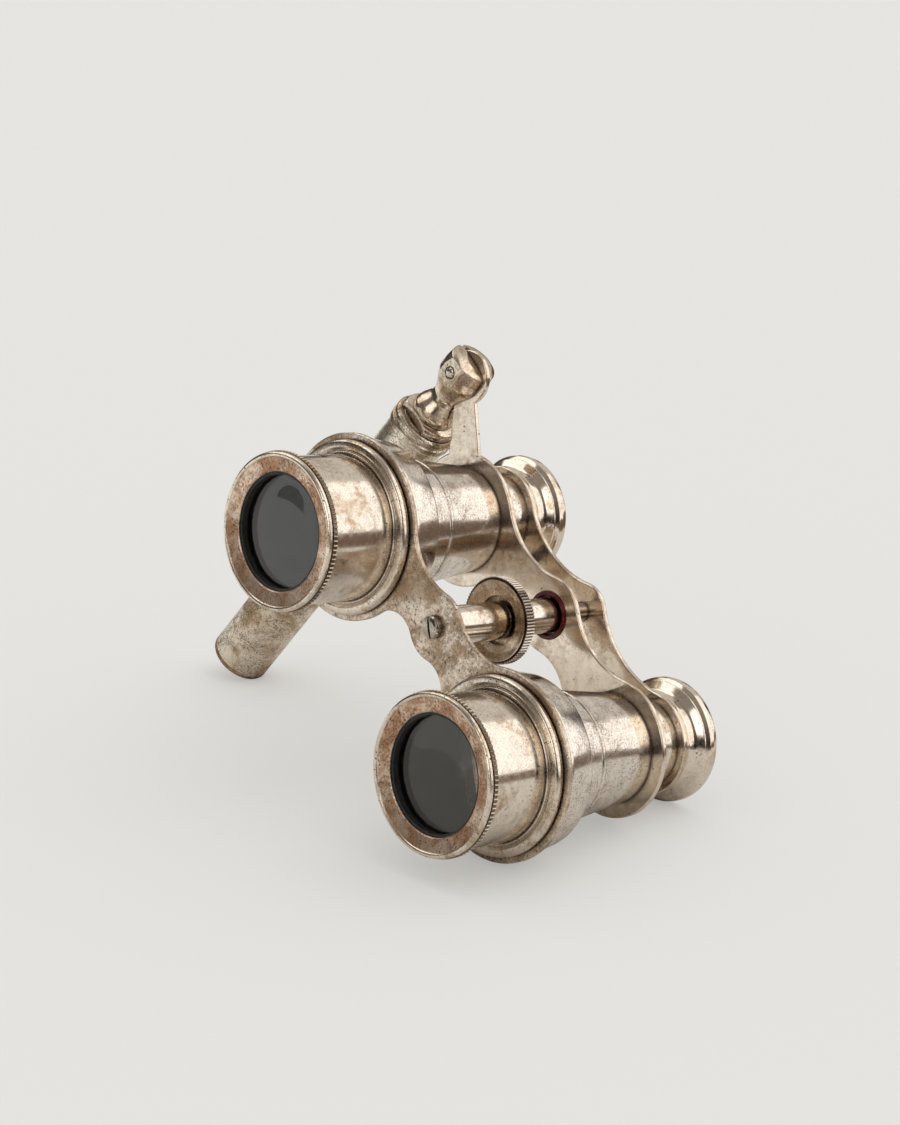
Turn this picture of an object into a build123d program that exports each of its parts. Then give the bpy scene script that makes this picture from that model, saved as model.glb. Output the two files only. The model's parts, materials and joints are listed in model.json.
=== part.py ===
from build123d import *
import math
import os

os.makedirs("parts", exist_ok=True)

# Opera glasses with a folding, telescoping handle.  Millimetres, +Z up.
# Every piece is first drawn in the holding frame: Y runs along the barrels
# from the objectives to the eyepieces, X goes from the handle's barrel to the
# other one, Z is up when the glasses are held.  The last step stands the whole
# set on the ground as it rests: on one barrel and on the handle's end.

# ---- overall sizes
barrel_spacing = 64.0
right_advance = 1.9

# ---- objective end
bezel_radius = 17.0
bezel_length = 2.4
bezel_opening = 12.6
bezel_dish = 1.0
bezel_teeth = 110
knurl_depth = 0.3
cell_radius = 15.7
cell_wall = 0.75
flange_radius = 18.8
flange_front = 16.8
flange_length = 2.2
lens_edge = 2.2
lens_bulge = 0.7
seat_width = 0.6

# ---- front bridge and barrels
front_plate_thick = 1.2
front_lobe_radius = 20.15
post_rise = 5.4
front_boss_radius = 7.6
front_top_fillet = 14.4
front_low_fillet = 6.4
shoulder_front_radius = 19.7
shoulder_rear_radius = 18.1
shoulder_length = 8.2
shoulder_wall = 1.2
body_front_radius = 15.1
body_rear_radius = 11.75
body_length = 26.25
body_wall = 0.65
groove_back = 7.4

# ---- middle bridge with the ear for the handle
middle_plate_thick = 1.25
middle_lobe_radius = 15.06
middle_boss_radius = 8.6
middle_top_fillet = 18.0
middle_low_fillet = 11.0
ear_radius = 6.0
ear_shift = 1.4
ear_neck_base = 5.2
ear_neck_tip = 2.35

# ---- rear bridge, draw tubes and eyepieces
rear_plate_gap = 9.65
rear_plate_thick = 1.2
rear_lobe_radius = 11.4
rear_boss_radius = 6.4
rear_top_fillet = 22.0
rear_low_fillet = 14.0
draw_radius = 9.6
draw_wall = 0.6
draw_length = 24.5
cup_base_radius = 11.0
cup_bead_radius = 13.57
cup_length = 7.85
eye_opening = 7.5
eye_lens_radius = 8.3
eye_lens_edge = 2.6

# ---- focus column
post_radius = 4.1
post_bore = 2.65
wheel_radius = 9.5
wheel_thick = 2.75
wheel_front = 37.05
wheel_teeth = 84
wheel_tooth_depth = 0.42
wheel_recess = 5.3
sleeve_radius = 3.85
rod_radius = 2.1
bush_radius = 5.25
screw_head_radius = 2.45
screw_head_height = 1.6
focus_lead = 8.0
focus_in = 7.0
focus_out = 4.5

# ---- handle
ear_outboard = 23.2
pivot_z = 22.7
handle_lean = 1.33
cheek_thick = 4.4
head_radius = 5.8
head_rise = 3.95
slot_depth = 8.7
rivet_head_radius = 1.25
rivet_head_rise = 0.3
rivet_recess = 0.35
rivet_radius = 1.0
neck_length = 16.0
grip_radius = 7.15
grip_wall = 0.6
grip_length = 88.0
collar_radius = 7.75
collar_length = 4.2
slider_radius = 6.1
slider_wall = 0.7
grip_travel = 60.0
stop_ring_length = 3.0
cap_thick = 1.8
cap_plug = 3.0
fold_range = 268.0

# ---- clearances
running_gap = 0.05
sliding_gap = 0.06
face_gap = 0.05

# ---- derived stations along the barrels
front_plate_front = flange_front + flange_length
front_plate_rear = front_plate_front + front_plate_thick
shoulder_rear = front_plate_rear + shoulder_length
middle_plate_rear = shoulder_rear + body_length
middle_plate_front = middle_plate_rear - middle_plate_thick
rear_plate_front = middle_plate_rear + rear_plate_gap
rear_plate_rear = rear_plate_front + rear_plate_thick
body_bore = draw_radius + sliding_gap
half_space = barrel_spacing / 2
pivot_x = -(half_space + ear_outboard)
barrel_side = {"left": half_space, "right": -half_space}
cell_bore = cell_radius - cell_wall
lens_radius = cell_bore - 0.05
sleeve_bore = rod_radius + running_gap
sleeve_rear = middle_plate_rear + 0.35
ear_middle = (middle_plate_front + middle_plate_rear) / 2
fork_half_slot = middle_plate_thick / 2 + 0.08
fork_half = fork_half_slot + cheek_thick


def spun(points, x=0.0, z=0.0):
    """A turned piece: (radius, y) points spun about an axis along Y."""
    outline = make_face(Polyline(*[(r, y) for r, y in points], close=True))
    return revolve(outline, Axis.Y).moved(Location((x, 0, z)))


def tube(outer, inner, start, end, x=0.0, z=0.0):
    points = [(inner, start), (outer, start), (outer, end), (inner, end)]
    return spun(points, x, z)


def rod(radius, start, end, x=0.0, z=0.0):
    return spun([(0, start), (radius, start), (radius, end), (0, end)], x, z)


def toothed(radius, depth, count, start, end, x=0.0, z=0.0):
    """Straight fine teeth all round an edge, as cut by a knurling wheel."""
    points = []
    for i in range(count):
        tip = 2 * math.pi * i / count
        root = tip + math.pi / count
        points.append((radius * math.cos(tip), radius * math.sin(tip)))
        points.append(((radius - depth) * math.cos(root), (radius - depth) * math.sin(root)))
    outline = make_face(Polyline(*points, close=True))
    solid = extrude(outline, amount=end - start)
    return solid.moved(Location((x, end, z), (90, 0, 0)))


def slab(sketch, front, thick):
    """Stand an X-Z outline up and give it its thickness along Y."""
    return extrude(sketch, amount=thick).moved(Location((0, front + thick, 0), (90, 0, 0)))


def disc(radius, x=0.0, z=0.0):
    return Circle(radius).moved(Location((x, z, 0)))


def blend_centre(radius, lobe, boss, side, sign):
    """Centre of the arc that runs from the boss into one lobe."""
    a = boss + radius
    b = lobe + radius
    d = math.hypot(half_space, post_rise)
    along = (a * a - b * b + d * d) / (2 * d)
    off = math.sqrt(a * a - along * along)
    ux = side * half_space / d
    uz = -post_rise / d
    return along * ux - sign * side * uz * off, post_rise + along * uz + sign * side * ux * off


def bridge_outline(lobe, boss, top, low):
    shape = disc(boss, 0, post_rise)
    for side in (-1, 1):
        upper = blend_centre(top, lobe, boss, side, 1)
        lower = blend_centre(low, lobe, boss, side, -1)
        corners = [(0, post_rise), upper, (side * half_space, 0), lower]
        web = make_face(Polyline(*corners, close=True))
        web = web - disc(top, *upper)
        web = web - disc(low, *lower)
        shape = shape + web + disc(lobe, side * half_space, 0)
    return shape


def softened(solid, amount):
    """Break the long outer edges of a plate."""
    rims = [e for e in solid.edges() if e.length > 3.0]
    return chamfer(rims, amount)


pieces = {}


def joined(*solids):
    whole = solids[0]
    for extra in solids[1:]:
        whole = whole + extra
    return whole


# ---- the three bridges
plate = slab(bridge_outline(front_lobe_radius, front_boss_radius, front_top_fillet,
                            front_low_fillet), front_plate_front, front_plate_thick)
plate = softened(plate, 0.2)
for x in barrel_side.values():
    plate = plate - rod(cell_radius, front_plate_front - 5, front_plate_rear + 5, x)
plate = plate - rod(1.3, front_plate_front - 5, front_plate_rear + 5, 0, post_rise)
pieces["front_bridge"] = plate

middle = bridge_outline(middle_lobe_radius, middle_boss_radius, middle_top_fillet,
                        middle_low_fillet)
away = math.degrees(math.atan2(pivot_z, pivot_x + half_space))
reach = math.hypot(pivot_z, pivot_x + half_space)
neck = make_face(Polyline((0, -ear_neck_base - 1.2), (reach, -ear_neck_tip),
                          (reach, ear_neck_tip), (0, ear_neck_base + 1.2), close=True))
neck = neck.moved(Location((-half_space, 0, 0), (0, 0, away)))
ear = disc(ear_radius, pivot_x + ear_shift, pivot_z)
middle = middle + neck + ear
plate = slab(middle, middle_plate_front, middle_plate_thick)
plate = softened(plate, 0.2)
for x in barrel_side.values():
    plate = plate - rod(body_rear_radius, middle_plate_front - 5, middle_plate_rear + 5, x)
plate = plate - rod(bush_radius, middle_plate_front - 5, middle_plate_rear + 5, 0, post_rise)
plate = plate - rod(rivet_radius + running_gap, middle_plate_front - 5,
                    middle_plate_rear + 5, pivot_x, pivot_z)
pieces["middle_bridge"] = plate

rear = bridge_outline(rear_lobe_radius, rear_boss_radius, rear_top_fillet, rear_low_fillet)
plate = slab(rear, rear_plate_front, rear_plate_thick)
plate = softened(plate, 0.2)
for x in barrel_side.values():
    plate = plate - rod(draw_radius, rear_plate_front - 5, rear_plate_rear + 5, x)
plate = plate - rod(rod_radius, rear_plate_front - 5, rear_plate_rear + 5, 0, post_rise)
pieces["rear_bridge"] = plate

# ---- the barrels
for side, x in barrel_side.items():
    front = -right_advance if side == "right" else 0.0
    rim = front + bezel_length
    bezel = spun([
        (bezel_opening, front + bezel_dish),
        (bezel_radius - 2.4, front + bezel_dish * 0.55),
        (bezel_radius - 1.9, front + 0.12),
        (bezel_radius - 1.2, front),
        (bezel_radius - 0.55, front + 0.18),
        (bezel_radius - 0.2, front + 0.65),
        (bezel_radius - 0.2, front + 1.0),
        (bezel_radius, front + 1.1),
        (bezel_radius, rim - 0.1),
        (bezel_radius - 0.15, rim),
        (bezel_opening, rim),
    ], x)
    gear = toothed(bezel_radius, knurl_depth, bezel_teeth, front - 1, rim + 1, x)
    smooth = rod(bezel_radius + 1, front - 1, front + 1.05, x)
    bezel = bezel & (gear + smooth)
    bezel = bezel - rod(bezel_opening + 0.9, front + 1.35, rim + 1, x)
    pieces["objective_bezel_" + side] = bezel

    seat = spun([
        (bezel_opening - seat_width, front + 1.35),
        (bezel_opening + 0.9, front + 1.35),
        (bezel_opening + 0.9, rim),
        (lens_radius, rim),
        (lens_radius, rim + 0.35),
        (bezel_opening - seat_width, rim + 0.35),
    ], x)
    pieces["lens_seat_" + side] = seat

    glass_front = rim + 0.35
    glass_rear = glass_front + lens_edge
    glass = rod(lens_radius, glass_front, glass_rear, x)
    ball = (lens_radius * lens_radius + lens_bulge * lens_bulge) / (2 * lens_bulge)
    face = Sphere(ball).moved(Location((x, glass_front - lens_bulge + ball, 0)))
    bulge_front = rod(bezel_opening - seat_width, glass_front - lens_bulge, glass_front, x)
    bulge_front = bulge_front & face
    ball_rear = Sphere(ball).moved(Location((x, glass_rear + lens_bulge - ball, 0)))
    bulge_rear = rod(lens_radius - 1.2, glass_rear, glass_rear + lens_bulge, x) & ball_rear
    pieces["objective_lens_" + side] = joined(glass, bulge_front, bulge_rear)

    pieces["lens_stop_" + side] = tube(cell_bore, lens_radius - 1.2, glass_rear,
                                       glass_rear + 1.6, x)
    pieces["objective_tube_" + side] = tube(cell_radius, cell_bore, rim, front_plate_rear + 2.0, x)

    pieces["flange_" + side] = spun([
        (cell_radius, flange_front),
        (cell_radius + 0.55, flange_front),
        (cell_radius + 0.75, flange_front + 0.45),
        (flange_radius - 1.3, flange_front + 0.2),
        (flange_radius - 0.5, flange_front + 0.45),
        (flange_radius - 0.08, flange_front + 1.0),
        (flange_radius, flange_front + 1.5),
        (flange_radius - 0.25, front_plate_front),
        (cell_radius, front_plate_front),
    ], x)

    pieces["barrel_shoulder_" + side] = spun([
        (cell_radius, front_plate_rear),
        (shoulder_front_radius, front_plate_rear),
        (shoulder_rear_radius + 0.15, shoulder_rear - 0.5),
        (shoulder_rear_radius - 0.4, shoulder_rear),
        (body_front_radius - body_wall, shoulder_rear),
        (body_front_radius - body_wall, shoulder_rear - shoulder_wall),
        (shoulder_rear_radius - shoulder_wall, shoulder_rear - shoulder_wall),
        (shoulder_front_radius - shoulder_wall, front_plate_rear + 2.0),
        (cell_radius, front_plate_rear + 2.0),
    ], x)

    groove = shoulder_rear + groove_back
    plate_run = body_length - middle_plate_thick
    drop = (body_front_radius - body_rear_radius) / plate_run
    at_groove = body_front_radius - drop * groove_back
    pieces["barrel_body_" + side] = spun([
        (body_front_radius - body_wall - 0.3, shoulder_rear),
        (body_front_radius, shoulder_rear),
        (at_groove + 0.05, groove - 0.3),
        (at_groove - 0.2, groove - 0.15),
        (at_groove - 0.2, groove + 0.15),
        (at_groove, groove + 0.3),
        (body_rear_radius, middle_plate_front),
        (body_rear_radius, middle_plate_rear),
        (body_bore, middle_plate_rear),
        (body_bore, middle_plate_front - 4.0),
        (body_rear_radius - body_wall + drop * 4.0, middle_plate_front - 4.0),
        (body_front_radius - body_wall - 0.3, shoulder_rear + 2.5),
    ], x)

    # the half that slides: draw tube, eyecup, eye lens and its ring
    draw_front = rear_plate_rear - draw_length
    pieces["draw_tube_" + side] = tube(draw_radius, draw_radius - draw_wall, draw_front,
                                       rear_plate_rear, x)
    base = rear_plate_rear
    tip = base + cup_length
    spigot = draw_radius - draw_wall
    pieces["eyecup_" + side] = spun([
        (eye_lens_radius, base - 4.0),
        (spigot, base - 4.0),
        (spigot, base),
        (cup_base_radius, base),
        (cup_base_radius, base + 0.35),
        (cup_base_radius - 0.3, base + 0.75),
        (cup_base_radius - 0.35, base + 1.4),
        (cup_base_radius - 0.05, base + 2.3),
        (cup_base_radius + 0.6, base + 3.15),
        (cup_base_radius + 1.45, base + 3.85),
        (cup_base_radius + 1.75, base + 4.1),
        (cup_base_radius + 1.75, base + 4.4),
        (cup_bead_radius - 0.45, base + 4.75),
        (cup_bead_radius - 0.1, base + 5.3),
        (cup_bead_radius, base + 5.9),
        (cup_bead_radius, base + 6.5),
        (cup_bead_radius - 0.3, tip - 0.6),
        (cup_bead_radius - 0.9, tip - 0.15),
        (cup_bead_radius - 1.5, tip),
        (cup_bead_radius - 2.1, tip - 0.25),
        (eye_opening + 1.4, base + 4.0),
        (eye_opening, base + 3.2),
        (eye_opening, base + 0.2),
        (eye_lens_radius, base + 0.2),
    ], x)

    eye = base + 0.2
    sag = 0.6
    hollow = (eye_opening * eye_opening + sag * sag) / (2 * sag)
    glass = rod(eye_lens_radius, eye - eye_lens_edge, eye, x)
    glass = glass - Sphere(hollow).moved(Location((x, eye - sag + hollow, 0)))
    glass = glass - Sphere(hollow).moved(Location((x, eye - eye_lens_edge + sag - hollow, 0)))
    pieces["eye_lens_" + side] = glass
    pieces["eye_lens_ring_" + side] = tube(eye_lens_radius, eye_opening - 0.4,
                                           eye - eye_lens_edge - 1.5, eye - eye_lens_edge, x)

# ---- focus column: fixed post, screw, bush, wheel on its sleeve, rod
z = post_rise
post = tube(post_radius, post_bore, front_plate_rear, wheel_front + 0.9, 0, z)
post = post + tube(post_radius, 1.3, front_plate_rear, front_plate_rear + 3.0, 0, z)
pieces["focus_post"] = post

head_front = front_plate_front - screw_head_height
screw = spun([
    (0, head_front - 0.12),
    (screw_head_radius * 0.6, head_front),
    (screw_head_radius - 0.3, head_front + 0.15),
    (screw_head_radius, head_front + 0.5),
    (screw_head_radius, front_plate_front),
    (1.3, front_plate_front),
    (1.3, front_plate_rear + 3.0),
    (0, front_plate_rear + 3.0),
], 0, z)
slot = Box(screw_head_radius * 3, 1.0, 0.6).rotate(Axis.Y, 35)
screw = screw - slot.moved(Location((0, head_front + 0.1, z)))
pieces["post_screw"] = screw

pieces["guide_bush"] = spun([
    (bush_radius - 0.75, middle_plate_front - 0.35),
    (bush_radius, middle_plate_front - 0.35),
    (bush_radius, middle_plate_rear + 0.35),
    (sleeve_radius + running_gap, middle_plate_rear + 0.35),
    (sleeve_radius + running_gap, middle_plate_front + 0.7),
    (bush_radius - 0.75, middle_plate_front + 0.7),
], 0, z)

wheel_rear = wheel_front + wheel_thick
dish = 0.75
disc_body = spun([
    (0, wheel_front + 1.9),
    (wheel_recess, wheel_front + 1.9),
    (wheel_recess, wheel_front + dish),
    (wheel_radius - 2.0, wheel_front + dish * 0.75),
    (wheel_radius - 0.9, wheel_front),
    (wheel_radius - 0.35, wheel_front),
    (wheel_radius, wheel_front + 0.3),
    (wheel_radius, wheel_rear - 0.3),
    (wheel_radius - 0.35, wheel_rear),
    (0, wheel_rear),
], 0, z)
teeth = toothed(wheel_radius, wheel_tooth_depth, wheel_teeth, wheel_front - 1,
                wheel_rear + 1, 0, z)
disc_body = disc_body & teeth
journal = post_bore - running_gap
disc_body = disc_body - rod(journal, wheel_front - 1, wheel_rear + 1, 0, z)
pieces["focus_wheel"] = disc_body

pieces["focus_sleeve"] = spun([
    (0, front_plate_rear + 4.5),
    (journal, front_plate_rear + 4.5),
    (journal, wheel_rear),
    (sleeve_radius, wheel_rear),
    (sleeve_radius, sleeve_rear),
    (sleeve_bore, sleeve_rear),
    (sleeve_bore, wheel_rear + 0.2),
    (0, wheel_rear + 0.2),
], 0, z)

rod_front = wheel_rear + focus_in + 0.4
pieces["focus_rod"] = rod(rod_radius, rod_front, rear_plate_rear + 0.6, 0, z)
pieces["rod_nut"] = spun([
    (rod_radius, rear_plate_rear),
    (3.4, rear_plate_rear),
    (3.4, rear_plate_rear + 0.8),
    (2.9, rear_plate_rear + 1.3),
    (rod_radius, rear_plate_rear + 1.45),
], 0, z)

# ---- the handle, drawn hanging straight down from its pivot, then leaned
def down(points):
    """A piece turned about the handle's own axis: (radius, distance below pivot)."""
    outline = make_face(Polyline(*[(r, -s) for r, s in points], close=True))
    turned = revolve(outline, Axis.Y)
    return turned.rotate(Axis.X, 90)


def hung(solid):
    leaned = solid.rotate(Axis.Y, handle_lean)
    return leaned.moved(Location((pivot_x, ear_middle, pivot_z)))


shank = slider_radius - slider_wall
knob = down([
    (0, -head_rise),
    (2.6, -head_rise + 0.08),
    (4.4, -head_rise + 0.35),
    (head_radius - 0.45, -head_rise + 0.75),
    (head_radius - 0.1, -1.4),
    (head_radius, 0.4),
    (head_radius - 0.1, 2.0),
    (head_radius - 0.55, 3.2),
    (head_radius - 1.5, 4.8),
    (3.75, 6.2),
    (3.4, 7.3),
    (3.45, 8.5),
    (4.1, 9.8),
    (4.75, 11.2),
    (5.2, 12.3),
    (5.2, 13.3),
    (4.95, 13.5),
    (4.95, 13.8),
    (5.6, 14.1),
    (6.5, 14.5),
    (6.8, 15.0),
    (6.8, 15.6),
    (6.55, 15.8),
    (6.9, neck_length),
    (shank, neck_length),
    (shank, neck_length + 6.0),
    (0, neck_length + 6.0),
])
knob = knob & Box(40, 2 * fork_half, 80)
knob = knob - Box(40, 2 * fork_half_slot, 2 * slot_depth)
knob = knob - rod(rivet_radius, -20, 20)
for way in (-1, 1):
    pit = rod(rivet_head_radius + 0.25, fork_half - rivet_recess, fork_half + 1)
    knob = knob - pit.rotate(Axis.Z, 90 - 90 * way)
pieces["handle_fork"] = hung(knob)

seat = fork_half - rivet_recess
rivet = rod(rivet_radius, -seat - 0.1, seat + 0.1)
for way in (-1, 1):
    cap = spun([
        (0, way * seat),
        (rivet_head_radius, way * seat),
        (rivet_head_radius - 0.2, way * (seat + rivet_head_rise * 0.9)),
        (rivet_head_radius * 0.5, way * (fork_half + rivet_head_rise - 0.05)),
        (0, way * (fork_half + rivet_head_rise)),
    ])
    rivet = rivet + cap
pieces["hinge_rivet"] = hung(rivet)

grip_top = neck_length + face_gap
grip_end = neck_length + grip_length
inside = grip_radius - grip_wall
lip = 1.5
slider_end = grip_top + lip + grip_travel + stop_ring_length + 0.1
pieces["handle_slider"] = hung(down([
    (shank, neck_length), (slider_radius, neck_length),
    (slider_radius, slider_end), (shank, slider_end),
]))
pieces["slider_stop"] = hung(down([
    (slider_radius, slider_end - stop_ring_length),
    (inside - sliding_gap, slider_end - stop_ring_length),
    (inside - sliding_gap, slider_end),
    (slider_radius, slider_end),
]))
pieces["grip_collar"] = hung(down([
    (slider_radius + sliding_gap, grip_top),
    (collar_radius - 0.5, grip_top),
    (collar_radius, grip_top + 0.5),
    (collar_radius, grip_top + 1.5),
    (collar_radius - 0.4, grip_top + 1.8),
    (collar_radius - 0.4, grip_top + 2.1),
    (collar_radius, grip_top + 2.4),
    (collar_radius, grip_top + 3.5),
    (collar_radius - 0.35, grip_top + collar_length),
    (grip_radius, grip_top + collar_length),
    (grip_radius, grip_top + lip),
    (slider_radius + sliding_gap, grip_top + lip),
]))
pieces["grip_tube"] = hung(down([
    (inside, grip_top + lip), (grip_radius, grip_top + lip),
    (grip_radius, grip_end - cap_thick), (inside, grip_end - cap_thick),
]))
pieces["grip_cap"] = hung(down([
    (0, grip_end - cap_thick - cap_plug),
    (inside, grip_end - cap_thick - cap_plug),
    (inside, grip_end - cap_thick),
    (grip_radius, grip_end - cap_thick),
    (grip_radius, grip_end - 0.9),
    (grip_radius - 0.5, grip_end - 0.45),
    (grip_radius * 0.6, grip_end - 0.1),
    (0, grip_end),
]))

# ---- stand the glasses on the ground: the front bridge's lobe, the eyecup's
# bead and the edge of the grip's cap all touch it
lobe_y = front_plate_rear - 0.2
bead_y = rear_plate_rear + cup_length - 1.4
tilt = (front_lobe_radius - cup_bead_radius) / (bead_y - lobe_y)
across = 1 / math.sqrt(1 + tilt * tilt)
nose = -tilt * across
lean = math.radians(handle_lean)
handle_dir = (-math.sin(lean), 0.0, -math.cos(lean))
cap_edge = grip_end - 0.9
cap_centre = (pivot_x + handle_dir[0] * cap_edge, ear_middle, pivot_z + handle_dir[2] * cap_edge)


def up_for(angle):
    return (-across * math.sin(angle), nose, across * math.cos(angle))


def dot(a, b):
    return sum(p * q for p, q in zip(a, b))


def stand_error(angle):
    up = up_for(angle)
    barrel = dot(up, (half_space, lobe_y, 0)) - front_lobe_radius * across
    along = dot(up, handle_dir)
    handle = dot(up, cap_centre) - grip_radius * math.sqrt(1 - along * along)
    return handle - barrel


low, high = math.radians(5), math.radians(80)
for _ in range(60):
    mid = (low + high) / 2
    if stand_error(low) * stand_error(mid) > 0:
        low = mid
    else:
        high = mid
up = up_for((low + high) / 2)
floor_level = dot(up, (half_space, lobe_y, 0)) - front_lobe_radius * across

# the barrels keep pointing along Y; X completes the frame
level = math.sqrt(1 - up[1] * up[1])
axis_y = (-up[1] * up[0] / level, level, -up[1] * up[2] / level)
axis_x = (axis_y[1] * up[2] - axis_y[2] * up[1],
          axis_y[2] * up[0] - axis_y[0] * up[2],
          axis_y[0] * up[1] - axis_y[1] * up[0])
rows = (axis_x, axis_y, up)


def stand_vector(v):
    return tuple(dot(row, v) for row in rows)


# the plane whose X and Z directions are the images of the holding frame's own
turned = Plane(origin=(0, 0, 0), x_dir=stand_vector((1, 0, 0)), z_dir=stand_vector((0, 0, 1)))
first = {name: solid.moved(turned.location) for name, solid in pieces.items()}
boxes = [solid.bounding_box(optimal=True) for solid in first.values()]
low_x = min(b.min.X for b in boxes)
high_x = max(b.max.X for b in boxes)
low_y = min(b.min.Y for b in boxes)
high_y = max(b.max.Y for b in boxes)
shift = (-(low_x + high_x) / 2, -(low_y + high_y) / 2, -floor_level)


def stand_point(p):
    return tuple(a + b for a, b in zip(stand_vector(p), shift))


finished = {name: solid.moved(Location(shift)) for name, solid in first.items()}

if __name__ == "__main__":
    for name, solid in finished.items():
        export_step(solid, "parts/" + name + ".step")
        print(name, len(solid.solids()), round(solid.volume, 1))
    print("overall", round(high_x - low_x, 2), round(high_y - low_y, 2),
          round(max(b.max.Z for b in boxes) - floor_level, 2))
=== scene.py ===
import bpy
import bmesh
import json
import math
from mathutils import Vector, Matrix


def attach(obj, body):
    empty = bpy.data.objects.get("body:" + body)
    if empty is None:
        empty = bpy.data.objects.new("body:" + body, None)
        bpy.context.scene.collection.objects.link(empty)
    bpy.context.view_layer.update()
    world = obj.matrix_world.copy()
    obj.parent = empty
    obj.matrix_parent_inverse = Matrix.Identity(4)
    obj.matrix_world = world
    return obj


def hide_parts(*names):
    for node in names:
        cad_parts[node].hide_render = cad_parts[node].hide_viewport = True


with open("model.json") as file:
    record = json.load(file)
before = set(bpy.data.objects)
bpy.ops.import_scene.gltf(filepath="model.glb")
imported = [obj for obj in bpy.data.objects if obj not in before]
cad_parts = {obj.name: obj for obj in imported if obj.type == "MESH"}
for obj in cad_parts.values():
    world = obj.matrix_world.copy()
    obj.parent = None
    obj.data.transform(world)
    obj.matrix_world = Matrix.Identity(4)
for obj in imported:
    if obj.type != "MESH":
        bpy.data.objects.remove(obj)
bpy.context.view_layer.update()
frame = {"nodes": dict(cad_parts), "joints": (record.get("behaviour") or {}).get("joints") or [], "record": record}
record = frame["record"]
nodes = frame["nodes"]
joints = {j["name"]: j for j in frame["joints"]}
mounts = {m["name"]: m for m in record["mounts"]}
scene = bpy.context.scene
print("frame loaded:", len(nodes), "nodes")

# The glasses lean on the ground, but every piece is drawn in the holding frame:
# Y along the barrels away from the objectives, X from the handle's barrel to the
# other one, millimetres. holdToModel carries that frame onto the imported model.
mm = 0.001
yAxis = Vector(joints["wheel_turn"]["axis"]).normalized()
leftEye = Vector(mounts["eyecup_bore_left"]["pos_m"])
rightEye = Vector(mounts["eyecup_bore_right"]["pos_m"])
xAxis = (leftEye - rightEye).normalized()
zAxis = xAxis.cross(yAxis)
halfSpace = (leftEye - rightEye).length / 2 / mm


def span(name, axis):
    values = [v.co.dot(axis) for v in nodes[name].data.vertices]
    return min(values), max(values)


frontPlate = 19.0  # station of the front bridge's front face
middleOfEyes = (leftEye + rightEye) / 2
origin = middleOfEyes + yAxis * (span("front_bridge", yAxis)[0] - frontPlate * mm - middleOfEyes.dot(yAxis))
turn = Matrix((xAxis, yAxis, zAxis)).transposed().to_4x4()
holdToModel = Matrix.Translation(origin) @ turn @ Matrix.Scale(mm, 4)
modelToHold = holdToModel.inverted()


def holdPoint(p):
    return modelToHold @ Vector(p)


def station(name):
    low, high = span(name, yAxis)
    return (low - origin.dot(yAxis)) / mm, (high - origin.dot(yAxis)) / mm


postZ = holdPoint(joints["wheel_turn"]["pos_m"]).z
pivot = holdPoint(joints["handle_fold"]["pos_m"])
gripDir = (turn.inverted().to_3x3() @ Vector(joints["grip_slide"]["axis"])).normalized()

# local frames in which a turned piece has its own axis along Y
def turnedFrame(point, along):
    along = Vector(along).normalized()
    side = Vector((1, 0, 0)) if abs(along.x) < 0.9 else Vector((0, 0, 1))
    zed = side.cross(along).normalized()
    ex = along.cross(zed).normalized()
    return Matrix.Translation(Vector(point)) @ Matrix((ex, along, zed)).transposed().to_4x4()


leftFrame = turnedFrame((halfSpace, 0, 0), (0, 1, 0))
rightFrame = turnedFrame((-halfSpace, 0, 0), (0, 1, 0))
postFrame = turnedFrame((0, 0, postZ), (0, 1, 0))
gripFrame = turnedFrame(pivot, gripDir)
plateFrame = turnedFrame((0, 0, 0), (0, 1, 0))

# shader bits


def addNode(tree, kind, links=None, **props):
    node = tree.nodes.new(kind)
    for key, value in props.items():
        setattr(node, key, value)
    for key, value in (links or {}).items():
        socket = node.inputs[key]
        if isinstance(value, bpy.types.NodeSocket):
            tree.links.new(value, socket)
        else:
            socket.default_value = value
    return node


def maths(tree, operation, a, b=0.0, c=0.0, clamp=False):
    node = addNode(tree, "ShaderNodeMath", {0: a, 1: b, 2: c}, operation=operation, use_clamp=clamp)
    return node.outputs[0]


def ramp(tree, value, low, high, outLow=0.0, outHigh=1.0):
    node = addNode(tree, "ShaderNodeMapRange",
                   {"Value": value, "From Min": low, "From Max": high,
                    "To Min": outLow, "To Max": outHigh})
    node.interpolation_type = "SMOOTHSTEP"
    return node.outputs[0]


def mixColor(tree, factor, a, b, blend="MIX"):
    node = addNode(tree, "ShaderNodeMix", data_type="RGBA", blend_type=blend)
    for socket, value in ((node.inputs[0], factor), (node.inputs[6], a), (node.inputs[7], b)):
        if isinstance(value, bpy.types.NodeSocket):
            tree.links.new(value, socket)
        else:
            socket.default_value = value
    return node.outputs[2]


def noise(tree, vector, scale, detail=3.0, rough=0.55, distortion=0.0):
    node = addNode(tree, "ShaderNodeTexNoise",
                   {"Vector": vector, "Scale": scale, "Detail": detail,
                    "Roughness": rough, "Distortion": distortion})
    return node.outputs["Fac"]


def startGroup(name, inputs, outputs):
    group = bpy.data.node_groups.new(name, "ShaderNodeTree")
    for label, kind, default in inputs:
        socket = group.interface.new_socket(label, in_out="INPUT", socket_type=kind)
        if default is not None:
            socket.default_value = default
    for label, kind in outputs:
        group.interface.new_socket(label, in_out="OUTPUT", socket_type=kind)
    return group, group.nodes.new("NodeGroupInput"), group.nodes.new("NodeGroupOutput")


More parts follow.
